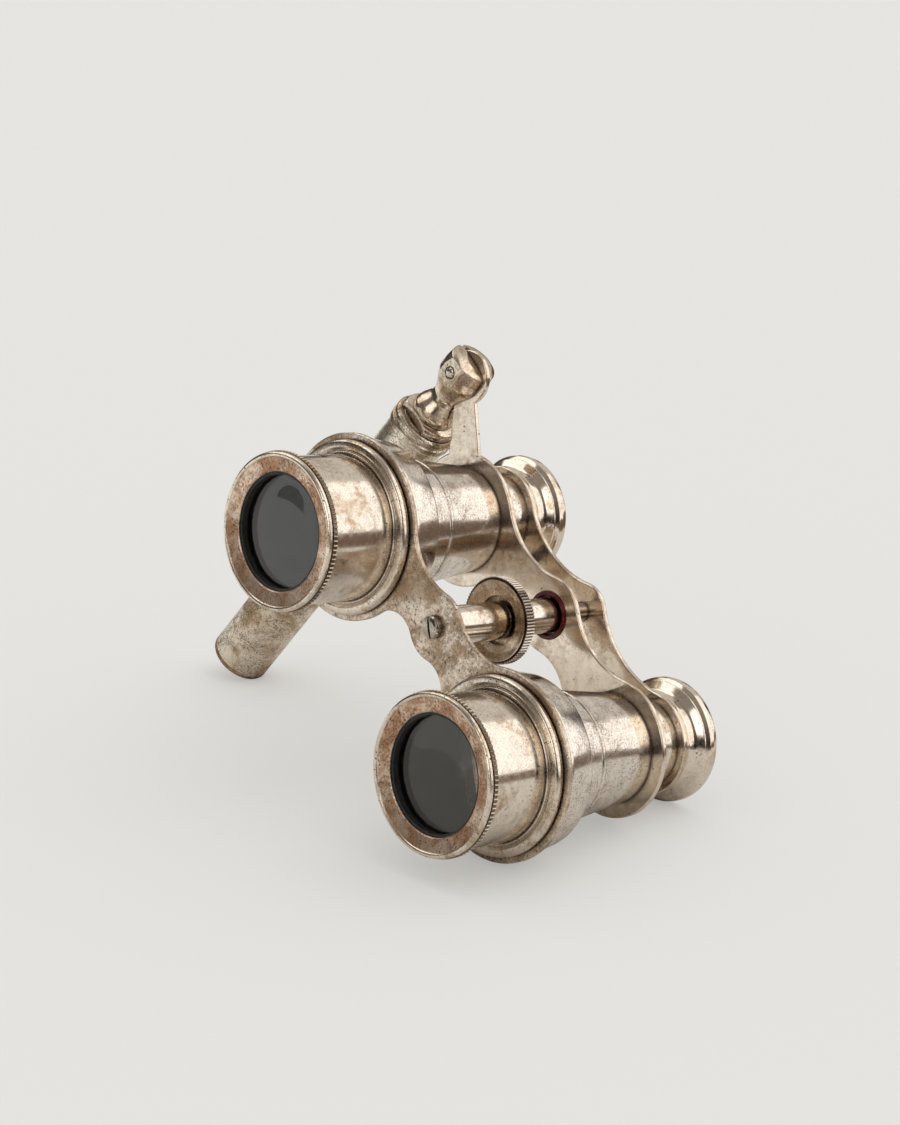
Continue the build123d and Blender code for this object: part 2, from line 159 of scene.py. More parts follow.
def polarGroup():
    group, gin, gout = startGroup("polarCoords", [("Vector", "NodeSocketVector", None)],
                                  [("Radius", "NodeSocketFloat"), ("Along", "NodeSocketFloat"),
                                   ("Angle", "NodeSocketFloat"), ("Unrolled", "NodeSocketVector")])
    xyz = addNode(group, "ShaderNodeSeparateXYZ", {0: gin.outputs["Vector"]})
    radius = maths(group, "SQRT", maths(group, "ADD",
                   maths(group, "MULTIPLY", xyz.outputs[0], xyz.outputs[0]),
                   maths(group, "MULTIPLY", xyz.outputs[2], xyz.outputs[2])))
    angle = maths(group, "ARCTAN2", xyz.outputs[2], xyz.outputs[0])
    rolled = addNode(group, "ShaderNodeCombineXYZ", {0: radius, 1: xyz.outputs[1], 2: 0.0})
    group.links.new(radius, gout.inputs["Radius"])
    group.links.new(xyz.outputs[1], gout.inputs["Along"])
    group.links.new(angle, gout.inputs["Angle"])
    group.links.new(rolled.outputs[0], gout.inputs["Unrolled"])
    return group


def tarnishGroup():
    group, gin, gout = startGroup("tarnishPatches", [
        ("Vector", "NodeSocketVector", None), ("Patch Size", "NodeSocketFloat", 9.0),
        ("Amount", "NodeSocketFloat", 0.4), ("Seed", "NodeSocketFloat", 0.0)],
        [("Mask", "NodeSocketFloat"), ("Fine", "NodeSocketFloat")])
    size = maths(group, "DIVIDE", 1.0, gin.outputs["Patch Size"])
    shift = addNode(group, "ShaderNodeCombineXYZ", {0: gin.outputs["Seed"], 1: 0.0, 2: 0.0})
    moved = addNode(group, "ShaderNodeVectorMath",
                    {0: gin.outputs["Vector"], 1: shift.outputs[0]}, operation="ADD")
    broad = noise(group, moved.outputs[0], size, 4.0, 0.6, 0.6)
    fineSize = maths(group, "MULTIPLY", size, 7.0)
    fine = noise(group, moved.outputs[0], fineSize, 5.0, 0.65)
    both = maths(group, "ADD", maths(group, "MULTIPLY", broad, 0.72),
                 maths(group, "MULTIPLY", fine, 0.28))
    edge = maths(group, "SUBTRACT", 0.78, maths(group, "MULTIPLY", gin.outputs["Amount"], 0.56))
    low = maths(group, "SUBTRACT", edge, 0.11)
    high = maths(group, "ADD", edge, 0.11)
    mask = ramp(group, both, low, high)
    group.links.new(mask, gout.inputs["Mask"])
    group.links.new(fine, gout.inputs["Fine"])
    return group


def pitsGroup():
    group, gin, gout = startGroup("minutePits", [
        ("Vector", "NodeSocketVector", None), ("Spacing", "NodeSocketFloat", 0.8),
        ("Amount", "NodeSocketFloat", 0.3)],
        [("Mask", "NodeSocketFloat"), ("Height", "NodeSocketFloat")])
    density = maths(group, "DIVIDE", 1.0, gin.outputs["Spacing"])
    warp = noise(group, gin.outputs["Vector"], 1.4, 2.0)
    cells = addNode(group, "ShaderNodeTexVoronoi",
                    {"Vector": gin.outputs["Vector"], "Scale": density, "Randomness": 1.0})
    dots = ramp(group, cells.outputs["Distance"], 0.34, 0.12)
    keep = addNode(group, "ShaderNodeSeparateColor", {0: cells.outputs["Color"]})
    limit = maths(group, "SUBTRACT", 1.0, gin.outputs["Amount"])
    chosen = maths(group, "GREATER_THAN", keep.outputs[0], limit)
    cluster = ramp(group, noise(group, gin.outputs["Vector"], 0.16, 3.0), 0.38, 0.62)
    mask = maths(group, "MULTIPLY", maths(group, "MULTIPLY", dots, chosen),
                 maths(group, "MULTIPLY", maths(group, "ADD", cluster, 0.25), ramp(group, warp, 0.3, 0.55)),
                 clamp=True)
    group.links.new(mask, gout.inputs["Mask"])
    group.links.new(maths(group, "MULTIPLY", mask, -1.0), gout.inputs["Height"])
    return group


def grimeGroup():
    group, gin, gout = startGroup("grimeSpeckle", [
        ("Vector", "NodeSocketVector", None), ("Size", "NodeSocketFloat", 0.3),
        ("Amount", "NodeSocketFloat", 0.5)], [("Mask", "NodeSocketFloat")])
    density = maths(group, "DIVIDE", 1.0, gin.outputs["Size"])
    fine = noise(group, gin.outputs["Vector"], density, 3.0, 0.75)
    broad = noise(group, gin.outputs["Vector"], 0.22, 4.0, 0.6, 0.5)
    both = maths(group, "ADD", maths(group, "MULTIPLY", fine, 0.7), maths(group, "MULTIPLY", broad, 0.3))
    dots = ramp(group, both, 0.47, 0.63)
    group.links.new(maths(group, "MULTIPLY", dots, gin.outputs["Amount"], clamp=True), gout.inputs["Mask"])
    return group


def edgeGroup():
    group, gin, gout = startGroup("edgeWear", [
        ("Vector", "NodeSocketVector", None), ("Width", "NodeSocketFloat", 0.0004),
        ("Breakup", "NodeSocketFloat", 0.35)],
        [("Mask", "NodeSocketFloat"), ("Normal", "NodeSocketVector")])
    bevel = addNode(group, "ShaderNodeBevel", {"Radius": gin.outputs["Width"]}, samples=6)
    geometry = addNode(group, "ShaderNodeNewGeometry")
    facing = addNode(group, "ShaderNodeVectorMath",
                     {0: bevel.outputs[0], 1: geometry.outputs["Normal"]}, operation="DOT_PRODUCT")
    bend = ramp(group, facing.outputs["Value"], 0.995, 0.86)
    uneven = ramp(group, noise(group, gin.outputs["Vector"], 0.9, 4.0, 0.7), 0.25, 0.6)
    low = maths(group, "SUBTRACT", 1.0, gin.outputs["Breakup"])
    shade = maths(group, "ADD", low, maths(group, "MULTIPLY", uneven, gin.outputs["Breakup"]))
    group.links.new(maths(group, "MULTIPLY", bend, shade, clamp=True), gout.inputs["Mask"])
    group.links.new(bevel.outputs[0], gout.inputs["Normal"])
    return group


def scratchGroup():
    group, gin, gout = startGroup("hairScratches", [
        ("Vector", "NodeSocketVector", None), ("Length", "NodeSocketFloat", 6.0),
        ("Amount", "NodeSocketFloat", 0.3)],
        [("Mask", "NodeSocketFloat")])
    total = None
    for number, (spin, tilt) in enumerate(((0.35, 0.2), (1.45, -0.3), (2.3, 0.9))):
        turned = addNode(group, "ShaderNodeMapping", {"Vector": gin.outputs["Vector"]})
        turned.inputs["Rotation"].default_value = (tilt, spin, spin * 0.7)
        turned.inputs["Location"].default_value = (number * 17.3, 4.1 * number, -9.2 * number)
        lengthwise = maths(group, "DIVIDE", 1.0, gin.outputs["Length"])
        pull = addNode(group, "ShaderNodeCombineXYZ", {0: lengthwise, 1: 3.2, 2: 3.2})
        stretched = addNode(group, "ShaderNodeVectorMath", {0: turned.outputs[0], 1: pull.outputs[0]},
                            operation="MULTIPLY")
        lines = noise(group, stretched.outputs[0], 1.7, 2.0, 0.4)
        thin = ramp(group, maths(group, "ABSOLUTE", maths(group, "SUBTRACT", lines, 0.5)), 0.008, 0.0)
        broken = ramp(group, noise(group, turned.outputs[0], 0.35, 1.0), 0.5, 0.62)
        part = maths(group, "MULTIPLY", thin, broken)
        total = part if total is None else maths(group, "MAXIMUM", total, part)
    group.links.new(maths(group, "MULTIPLY", total, gin.outputs["Amount"], clamp=True), gout.inputs["Mask"])
    return group


polar = polarGroup()
tarnish = tarnishGroup()
pits = pitsGroup()
grime = grimeGroup()
edges = edgeGroup()
scratches = scratchGroup()


def useGroup(tree, group, links):
    node = tree.nodes.new("ShaderNodeGroup")
    node.node_tree = group
    for key, value in links.items():
        if isinstance(value, bpy.types.NodeSocket):
            tree.links.new(value, node.inputs[key])
        else:
            node.inputs[key].default_value = value
    return node


def newMaterial(name):
    made = bpy.data.materials.new(name)
    made.use_nodes = True
    tree = made.node_tree
    tree.nodes.clear()
    out = tree.nodes.new("ShaderNodeOutputMaterial")
    shader = tree.nodes.new("ShaderNodeBsdfPrincipled")
    tree.links.new(shader.outputs[0], out.inputs[0])
    return made, tree, shader


def ownCoords(tree, local):
    coords = addNode(tree, "ShaderNodeTexCoord")
    toLocal = (holdToModel @ local).inverted()
    spin = toLocal.to_3x3().normalized().to_euler()
    place = toLocal.to_translation()
    mapping = addNode(tree, "ShaderNodeMapping", {"Vector": coords.outputs["Object"]})
    mapping.inputs["Location"].default_value = place
    mapping.inputs["Rotation"].default_value = spin
    mapping.inputs["Scale"].default_value = (1 / mm,) * 3
    return mapping.outputs[0]


silverLook = {
    "silver": (0.93, 0.865, 0.78, 1), "brown": (0.47, 0.33, 0.20, 1), "dark": (0.03, 0.018, 0.012, 1),
    "bright": (0.90, 0.86, 0.81, 1), "patch": 9.0, "amount": 0.3, "seed": 0.0,
    "roughLow": 0.10, "roughHigh": 0.22, "pitSpacing": 0.75, "pits": 0.3, "grain": 0.3, "grime": 0.35,
    "turning": 0.35, "turningScale": 3.0, "scratches": 0.25, "edge": 0.22, "edgeBreak": 0.5,
    "inside": 0.0, "crevice": 0.9, "bump": 0.006, "roots": None}


def platedMetal(name, local, **changes):
    look = dict(silverLook, **changes)
    made, tree, shader = newMaterial(name)
    vector = ownCoords(tree, local)
    roundNode = useGroup(tree, polar, {"Vector": vector})
    worn = useGroup(tree, tarnish, {"Vector": vector, "Patch Size": look["patch"],
                                    "Amount": look["amount"], "Seed": look["seed"]})
    spots = useGroup(tree, pits, {"Vector": vector, "Spacing": look["pitSpacing"], "Amount": look["pits"]})
    dirt = useGroup(tree, grime, {"Vector": vector, "Size": look["grain"], "Amount": look["grime"]})
    rim = useGroup(tree, edges, {"Vector": vector, "Width": look["edge"] * mm,
                                 "Breakup": look["edgeBreak"]})
    hairs = useGroup(tree, scratches, {"Vector": vector, "Length": 7.0, "Amount": look["scratches"]})
    lathe = noise(tree, roundNode.outputs["Unrolled"], look["turningScale"], 3.0, 0.7)
    # recesses get dark patina plus painted shade: the AO mask mixes them brown, then nearly black
    hollow = addNode(tree, "ShaderNodeAmbientOcclusion", samples=6, only_local=False)
    hollow.inputs["Distance"].default_value = 1.5 * mm
    shade = ramp(tree, hollow.outputs["AO"], 0.80, 0.30, 0.0, look["crevice"])
    amount = maths(tree, "MAXIMUM", worn.outputs["Mask"], shade)
    base = mixColor(tree, amount, look["silver"], look["brown"])
    mottled = ramp(tree, worn.outputs["Fine"], 0.42, 0.70, 0.0, 0.22)
    base = mixColor(tree, mottled, base, look["brown"])
    base = mixColor(tree, dirt.outputs["Mask"], base, look["dark"])
    base = mixColor(tree, spots.outputs["Mask"], base, look["dark"])
    # painted shade: the AO mask darkens recesses toward near black
    base = mixColor(tree, maths(tree, "MULTIPLY", shade, 0.9), base, look["dark"])
    base = mixColor(tree, maths(tree, "MULTIPLY", hairs.outputs["Mask"], 0.5), base, look["bright"])
    base = mixColor(tree, maths(tree, "MULTIPLY", rim.outputs["Mask"], 0.8), base, look["bright"])
    # painted shade: below the knurl tips the roots are mixed toward near black
    if look["roots"]:
        rootShadeMask = ramp(tree, roundNode.outputs["Radius"], look["roots"][0], look["roots"][1], 1.0, 0.0)
        base = mixColor(tree, rootShadeMask, base, look["dark"])
    rough = ramp(tree, worn.outputs["Fine"], 0.3, 0.7, look["roughLow"], look["roughHigh"])
    rough = maths(tree, "ADD", rough, maths(tree, "MULTIPLY", amount, 0.08))
    rough = maths(tree, "ADD", rough, maths(tree, "MULTIPLY", dirt.outputs["Mask"], 0.25))
    rough = maths(tree, "ADD", rough, maths(tree, "MULTIPLY", spots.outputs["Mask"], 0.3), clamp=True)
    height = maths(tree, "ADD", maths(tree, "MULTIPLY", lathe, look["turning"]),
                   maths(tree, "MULTIPLY", spots.outputs["Height"], 1.6))
    height = maths(tree, "SUBTRACT", height, maths(tree, "MULTIPLY", dirt.outputs["Mask"], 0.5))
    height = maths(tree, "SUBTRACT", height, maths(tree, "MULTIPLY", hairs.outputs["Mask"], 0.6))
    bump = addNode(tree, "ShaderNodeBump", {"Height": height, "Normal": rim.outputs["Normal"],
                                            "Strength": 1.0, "Distance": look["bump"] * mm})
    if look["inside"]:
        bore = maths(tree, "LESS_THAN", roundNode.outputs["Radius"], look["inside"])
        base = mixColor(tree, bore, base, (0.012, 0.012, 0.012, 1))
        rough = maths(tree, "MAXIMUM", rough, maths(tree, "MULTIPLY", bore, 0.75))
        tree.links.new(maths(tree, "SUBTRACT", 1.0, bore), shader.inputs["Metallic"])
    else:
        shader.inputs["Metallic"].default_value = 1.0
    tree.links.new(base, shader.inputs["Base Color"])
    tree.links.new(rough, shader.inputs["Roughness"])
    tree.links.new(bump.outputs[0], shader.inputs["Normal"])
    return made


def lensGlass(name):
    made, tree, shader = newMaterial(name)
    coords = addNode(tree, "ShaderNodeTexCoord")
    shader.inputs["Base Color"].default_value = (0.93, 0.95, 0.94, 1)
    shader.inputs["Transmission Weight"].default_value = 1.0
    shader.inputs["IOR"].default_value = 1.52
    dust = noise(tree, coords.outputs["Object"], 900.0, 5.0, 0.7)
    tree.links.new(ramp(tree, dust, 0.45, 0.75, 0.0, 0.04), shader.inputs["Roughness"])
    return made


def flatPaint(name, color, rough, scale=700.0):
    made, tree, shader = newMaterial(name)
    coords = addNode(tree, "ShaderNodeTexCoord")
    grain = noise(tree, coords.outputs["Object"], scale, 4.0, 0.65)
    dim = tuple(c * 0.55 for c in color[:3]) + (1,)
    tree.links.new(mixColor(tree, ramp(tree, grain, 0.3, 0.7), color, dim), shader.inputs["Base Color"])
    tree.links.new(ramp(tree, grain, 0.3, 0.7, rough - 0.1, rough + 0.12), shader.inputs["Roughness"])
    bump = addNode(tree, "ShaderNodeBump", {"Height": grain, "Strength": 0.6, "Distance": 0.03 * mm})
    tree.links.new(bump.outputs[0], shader.inputs["Normal"])
    return made


print("shader groups ready")

# mesh helpers


def rounded(points, steps=5):
    line = []
    count = len(points)
    for i, item in enumerate(points):
        here = Vector(item[:2])
        radius = item[2] if len(item) > 2 else 0.0
        if radius <= 0 or i in (0, count - 1):
            line.append(here)
            continue
        back = Vector(points[i - 1][:2]) - here
        ahead = Vector(points[i + 1][:2]) - here
        half = back.angle(ahead) / 2
        cut = min(radius / math.tan(half), back.length * 0.49, ahead.length * 0.49)
        radius = cut * math.tan(half)
        start = here + back.normalized() * cut
        end = here + ahead.normalized() * cut
        centre = here + (back.normalized() + ahead.normalized()).normalized() * (radius / math.sin(half))
        for k in range(steps + 1):
            t = k / steps
            spoke = (start - centre).lerp(end - centre, t)
            line.append(centre + spoke.normalized() * radius)
    return line


def finishMesh(name, mesh, local, body, material, replaced=(), sharp=38):
    mesh.transform(holdToModel @ local)
    mesh.materials.clear()
    mesh.materials.append(material)
    for face in mesh.polygons:
        face.use_smooth = True
    mesh.set_sharp_from_angle(angle=math.radians(sharp))
    piece = bpy.data.objects.new(name, mesh)
    scene.collection.objects.link(piece)
    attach(piece, body)
    if replaced:
        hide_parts(*replaced)
    return piece


def turnedMesh(name, profile, closed=True, segments=160, steps=5):
    line = rounded(profile, steps)
    bm = bmesh.new()
    rings = []
    for p in line:
        if p.x < 1e-6:
            rings.append([bm.verts.new((0, p.y, 0))])
            continue
        rings.append([bm.verts.new((p.x * math.cos(2 * math.pi * k / segments), p.y,
                                    p.x * math.sin(2 * math.pi * k / segments)))
                      for k in range(segments)])
    pairs = list(zip(rings, rings[1:]))
    if closed:
        pairs.append((rings[-1], rings[0]))
    for a, b in pairs:
        if len(a) == 1 and len(b) == 1:
            continue
        for k in range(segments):
            n = (k + 1) % segments
            if len(a) == 1:
                bm.faces.new((a[0], b[n], b[k]))
            elif len(b) == 1:
                bm.faces.new((a[k], a[n], b[0]))
            else:
                bm.faces.new((a[k], a[n], b[n], b[k]))
    bmesh.ops.recalc_face_normals(bm, faces=bm.faces)
    mesh = bpy.data.meshes.new(name)
    bm.to_mesh(mesh)
    bm.free()
    return mesh


def knurlTree():
    tree = bpy.data.node_groups.new("straightKnurl", "GeometryNodeTree")
    tree.interface.new_socket("Geometry", in_out="INPUT", socket_type="NodeSocketGeometry")
    ids = {}
    for label, kind in (("Teeth", "NodeSocketInt"), ("Rim Radius", "NodeSocketFloat"),
                        ("Tooth Radius", "NodeSocketFloat"), ("Length", "NodeSocketFloat"),
                        ("Metal", "NodeSocketMaterial")):
        ids[label] = tree.interface.new_socket(label, in_out="INPUT", socket_type=kind).identifier
    tree.interface.new_socket("Geometry", in_out="OUTPUT", socket_type="NodeSocketGeometry")
    gin = tree.nodes.new("NodeGroupInput")
    gout = tree.nodes.new("NodeGroupOutput")
    ring = addNode(tree, "GeometryNodeMeshCircle", {"Vertices": gin.outputs["Teeth"],
                                                    "Radius": gin.outputs["Rim Radius"]})
    tooth = addNode(tree, "GeometryNodeMeshCylinder", {"Vertices": 4, "Radius": gin.outputs["Tooth Radius"],
                                                       "Depth": gin.outputs["Length"]})
    where = addNode(tree, "GeometryNodeInputPosition")
    aim = addNode(tree, "FunctionNodeAlignRotationToVector", {"Vector": where.outputs[0]},
                  axis="X", pivot_axis="Z")
    placed = addNode(tree, "GeometryNodeInstanceOnPoints",
                     {"Points": ring.outputs[0], "Instance": tooth.outputs["Mesh"],
                      "Rotation": aim.outputs[0]})
    solid = addNode(tree, "GeometryNodeRealizeInstances", {"Geometry": placed.outputs[0]})
    painted = addNode(tree, "GeometryNodeSetMaterial", {"Geometry": solid.outputs[0],
                                                        "Material": gin.outputs["Metal"]})
    tree.links.new(painted.outputs[0], gout.inputs[0])
    return tree, ids


knurl, knurlInputs = knurlTree()


def knurlMesh(name, teeth, rim, tooth, length, middle, material):
    holder = bpy.data.objects.new(name + "Maker", bpy.data.meshes.new(name + "Maker"))
    scene.collection.objects.link(holder)
    modifier = holder.modifiers.new("knurl", "NODES")
    modifier.node_group = knurl
    for label, value in (("Teeth", teeth), ("Rim Radius", rim), ("Tooth Radius", tooth),
                         ("Length", length), ("Metal", material)):
        modifier[knurlInputs[label]] = value
    graph = bpy.context.evaluated_depsgraph_get()
    mesh = bpy.data.meshes.new_from_object(holder.evaluated_get(graph))
    holder.modifiers.clear()
    bpy.data.objects.remove(holder)
    mesh.transform(Matrix.Translation((0, middle, 0)) @ Matrix.Rotation(math.radians(-90), 4, "X"))
    return mesh


def merged(name, *meshes):
    bm = bmesh.new()
    for mesh in meshes:
        bm.from_mesh(mesh)
    whole = bpy.data.meshes.new(name)
    bm.to_mesh(whole)
    bm.free()
    return whole


def carved(name, mesh, cutters):
    solid = bpy.data.objects.new(name + "Blank", mesh)
    scene.collection.objects.link(solid)
    made = [solid]
    for operation, cutMesh in cutters:
        cutter = bpy.data.objects.new(name + "Cutter", cutMesh)
        scene.collection.objects.link(cutter)
        cutter.hide_render = True
        made.append(cutter)
        boolean = solid.modifiers.new(operation, "BOOLEAN")
        boolean.operation = operation
        boolean.object = cutter
        boolean.solver = "EXACT"
    graph = bpy.context.evaluated_depsgraph_get()
    result = bpy.data.meshes.new_from_object(solid.evaluated_get(graph))
    for item in made:
        item.modifiers.clear()
        bpy.data.objects.remove(item)
    return result


def boxMesh(low, high):
    bm = bmesh.new()
    bmesh.ops.create_cube(bm, size=1.0)
    for v in bm.verts:
        for k in range(3):
            v.co[k] = low[k] if v.co[k] < 0 else high[k]
    mesh = bpy.data.meshes.new("block")
    bm.to_mesh(mesh)
    bm.free()
    return mesh


# barrels

bezelLook = {"radius": 17.0, "opening": 12.6, "dish": 1.0, "bore": 13.5, "teeth": 110, "toothRadius": 0.3}
lensLook = {"radius": 14.9, "clear": 12.0, "bulge": 0.7}
tubeLook = {"outer": 15.7, "bore": 14.95}
flangeLook = {"radius": 18.8}
shoulderLook = {"front": 19.7, "rear": 18.1, "wall": 1.2, "hole": 14.5}
bodyLook = {"front": 15.1, "rear": 11.75, "throat": 14.15, "bore": 9.66, "groove": 7.4}
drawLook = {"outer": 9.6, "bore": 9.0}
cupLook = {"base": 11.0, "bead": 13.57, "opening": 7.5, "lens": 8.3, "spigot": 9.0, "lensClear": 7.5}
sides = (("left", leftFrame, 0.0), ("right", rightFrame, 37.0))

for side, local, seed in sides:
    barrelMetal = platedMetal("barrelSilver" + side, local, amount=0.22, seed=seed, pits=0.6, grime=0.7,
                              pitSpacing=0.5, patch=12.0, roughLow=0.07, roughHigh=0.17, inside=11.3,
                              silver=(0.95, 0.895, 0.83, 1), grain=0.29)
    tubeMetal = platedMetal("tubeSilver" + side, local, amount=0.30, seed=seed + 5, pits=0.35, grime=0.30,
                            pitSpacing=0.55, patch=10.0, roughLow=0.07, roughHigh=0.20, inside=15.2,
                            silver=(0.94, 0.87, 0.78, 1))
    faceMetal = platedMetal("faceTarnish" + side, local, amount=0.5, seed=seed + 11, pits=0.6, grime=0.6,
                            pitSpacing=0.7, patch=4.5, roughLow=0.26, roughHigh=0.42, scratches=0.9,
                            brown=(0.47, 0.27, 0.16, 1), silver=(0.86, 0.68, 0.54, 1), edge=0.3, grain=0.45)
    rimMetal = platedMetal("rimSilver" + side, local, amount=0.36, seed=seed + 3, roughLow=0.12,
                           roughHigh=0.25, patch=6.0, crevice=1.0, silver=(0.90, 0.82, 0.72, 1))
    knurlMetal = platedMetal("knurlSilver" + side, local, amount=0.4, seed=seed + 41, roughLow=0.18,
                             roughHigh=0.3, crevice=1.0, edge=0.05, silver=(0.72, 0.62, 0.51, 1),
                             roots=(bezelLook["radius"] - 0.34, bezelLook["radius"] - 0.04))
    drawMetal = platedMetal("drawSilver" + side, local, amount=0.35, seed=seed + 31, inside=9.3)
    cupMetal = platedMetal("cupSilver" + side, local, amount=0.30, seed=seed + 23, roughLow=0.05,
                           roughHigh=0.14, patch=8.0, pits=0.2, grime=0.25, inside=8.0, turning=0.8,
                           silver=(0.90, 0.82, 0.72, 1))

    front, rear = station("objective_bezel_" + side)
    outer = bezelLook["radius"]
    inner = bezelLook["opening"]
    dish = front + bezelLook["dish"]
    ring = turnedMesh("bezel", [
        (inner, dish), (inner + 0.25, dish - 0.18, 0.12), (outer - 1.35, front + 0.3, 0.3),
        (outer - 1.2, front + 0.08, 0.1), (outer - 0.75, front, 0.3), (outer - 0.3, front + 0.25, 0.35),
        (outer - 0.18, front + 0.85, 0.2), (outer - 0.42, front + 1.1, 0.05),
        (outer - 0.24, front + 1.25, 0.05), (outer - 0.24, rear - 0.12, 0.08), (outer - 0.5, rear, 0.1),
        (bezelLook["bore"], rear), (bezelLook["bore"], dish + 0.35), (inner, dish + 0.35)], segments=220)
    teeth = knurlMesh("bezelKnurl" + side, bezelLook["teeth"], outer - 0.32, bezelLook["toothRadius"],
                      rear - front - 1.35, (front + 1.2 + rear - 0.1) / 2, rimMetal)
    bezel = finishMesh("objectiveBezel" + side.title(), merged("bezel" + side, ring, teeth), local, "frame",
                       rimMetal, ["objective_bezel_" + side])
    bezel.data.materials.append(faceMetal)
    bezel.data.materials.append(knurlMetal)
    flat = (holdToModel @ local).inverted()
    for face in bezel.data.polygons:
        p = flat @ face.center
        radius = math.hypot(p.x, p.z)
        if inner + 0.01 < radius < outer - 1.3 and p.y < front + 1.2:
            face.material_index = 1
        elif radius > outer - 0.7 and p.y > front + 1.05:
            face.material_index = 2

    front, rear = station("objective_lens_" + side)
    edge = lensLook["radius"]
    bulge = lensLook["bulge"]
    lens = turnedMesh("lens", [
        (0, front), (6.2, front + 0.16, 40), (lensLook["clear"], front + bulge - 0.02),
        (edge, front + bulge), (edge, rear - bulge), (0, rear - bulge)], closed=False, steps=12)
    finishMesh("objectiveLens" + side.title(), lens, local, "frame",
               lensGlass("objectiveGlass" + side), ["objective_lens_" + side])

    front, rear = station("objective_tube_" + side)
    tube = turnedMesh("tube", [
        (tubeLook["outer"], front), (tubeLook["outer"], rear, 0.1), (tubeLook["bore"], rear),
        (tubeLook["bore"], front)], segments=200)
    finishMesh("objectiveTube" + side.title(), tube, local, "frame", tubeMetal,
               ["objective_tube_" + side])

    front, rear = station("flange_" + side)
    root = tubeLook["outer"]
    outer = flangeLook["radius"]
    flange = turnedMesh("flange", [
        (root, front + 0.1), (root + 0.5, front, 0.2), (root + 0.72, front + 0.55, 0.08),
        (outer - 1.6, front + 0.15, 0.4), (outer - 0.35, front + 0.25, 0.6), (outer, front + 1.1, 0.5),
        (outer - 0.05, rear - 0.35, 0.2), (outer - 0.35, rear), (root, rear)], segments=200)
    finishMesh("flangeRing" + side.title(), flange, local, "frame", rimMetal,
               ["flange_" + side])

    front, rear = station("barrel_shoulder_" + side)
    wide, narrow = shoulderLook["front"], shoulderLook["rear"]
    wall, hole = shoulderLook["wall"], shoulderLook["hole"]
    shoulder = turnedMesh("shoulder", [
        (root, front), (wide, front, 0.1), (wide - 0.05, front + 0.9, 0.1),
        (wide - 0.28, front + 1.0, 0.05), (wide - 0.3, front + 1.2, 0.05), (narrow + 0.05, rear, 0.75),
        (hole, rear), (hole, rear - wall), (narrow - wall, rear - wall), (wide - wall, front + 2.0),
        (root, front + 2.0)], segments=200)
    finishMesh("barrelShoulder" + side.title(), shoulder, local, "frame", barrelMetal,
               ["barrel_shoulder_" + side])

    front, rear = station("barrel_body_" + side)
    plateFront = station("middle_bridge")[0]
    wide, narrow, bore = bodyLook["front"], bodyLook["rear"], bodyLook["bore"]
    slope = (wide - narrow) / (plateFront - front)
    groove = front + bodyLook["groove"]
    atGroove = wide - slope * bodyLook["groove"]
    atStep = atGroove - slope * 0.9
    body = turnedMesh("body", [
        (bodyLook["throat"], front), (wide, front), (atGroove + 0.05, groove - 0.35, 0.06),
        (atGroove - 0.22, groove - 0.12, 0.05), (atGroove - 0.22, groove + 0.12, 0.05),
        (atGroove + 0.02, groove + 0.3, 0.06), (atStep + 0.02, groove + 1.1, 0.03),
        (atStep - 0.08, groove + 1.2, 0.03), (narrow, plateFront), (narrow, rear), (bore, rear),
        (bore, plateFront - 4), (narrow - 0.1, plateFront - 4), (bodyLook["throat"], front + 2.5)],
        segments=200)
    finishMesh("barrelBody" + side.title(), body, local, "frame", barrelMetal,
               ["barrel_body_" + side])

    # the sliding half
    front, rear = station("draw_tube_" + side)
    draw = turnedMesh("draw", [
        (drawLook["outer"], front), (drawLook["outer"], rear), (drawLook["bore"], rear),
        (drawLook["bore"], front)], segments=160)
    finishMesh("drawTube" + side.title(), draw, local, "carriage", drawMetal,
               ["draw_tube_" + side])

    tip = station("eyecup_" + side)[1]
    base = station("rear_bridge")[1]
    foot, bead, opening = cupLook["base"], cupLook["bead"], cupLook["opening"]
    cup = turnedMesh("cup", [
        (cupLook["lens"], base - 4.0), (cupLook["spigot"], base - 4.0), (cupLook["spigot"], base),
        (foot, base), (foot, base + 0.4, 0.15), (foot - 0.35, base + 0.75, 0.15),
        (foot - 0.45, base + 1.6, 1.0), (foot + 0.15, base + 2.9, 1.6), (foot + 1.45, base + 3.85, 1.0),
        (foot + 1.8, base + 4.1, 0.1), (foot + 1.8, base + 4.35, 0.08), (bead - 0.5, base + 4.65, 0.12),
        (bead - 0.1, base + 5.2, 0.5), (bead, base + 6.2, 0.8), (bead - 0.2, tip - 0.6, 0.5),
        (bead - 0.95, tip, 0.5), (bead - 2.1, tip - 0.15, 0.5), (opening + 1.4, base + 4.0, 1.0),
        (opening, base + 3.2, 0.5), (opening, base + 0.2), (cupLook["lens"], base + 0.2)],
        segments=180, steps=7)
    finishMesh("eyecup" + side.title(), cup, local, "carriage", cupMetal,
               ["eyecup_" + side])

    front, rear = station("eye_lens_" + side)
    edge, clear = cupLook["lens"], cupLook["lensClear"]
    eye = turnedMesh("eye", [
        (0, front + 0.6), (4.0, front + 0.42, 26), (clear, front + 0.02), (edge, front), (edge, rear),
        (clear, rear - 0.02), (4.0, rear - 0.42, 26), (0, rear - 0.6)], closed=False, steps=10)
    finishMesh("eyeLens" + side.title(), eye, local, "carriage", lensGlass("eyeGlass" + side),
               ["eye_lens_" + side])
    print("barrel", side, "done")

# focus column

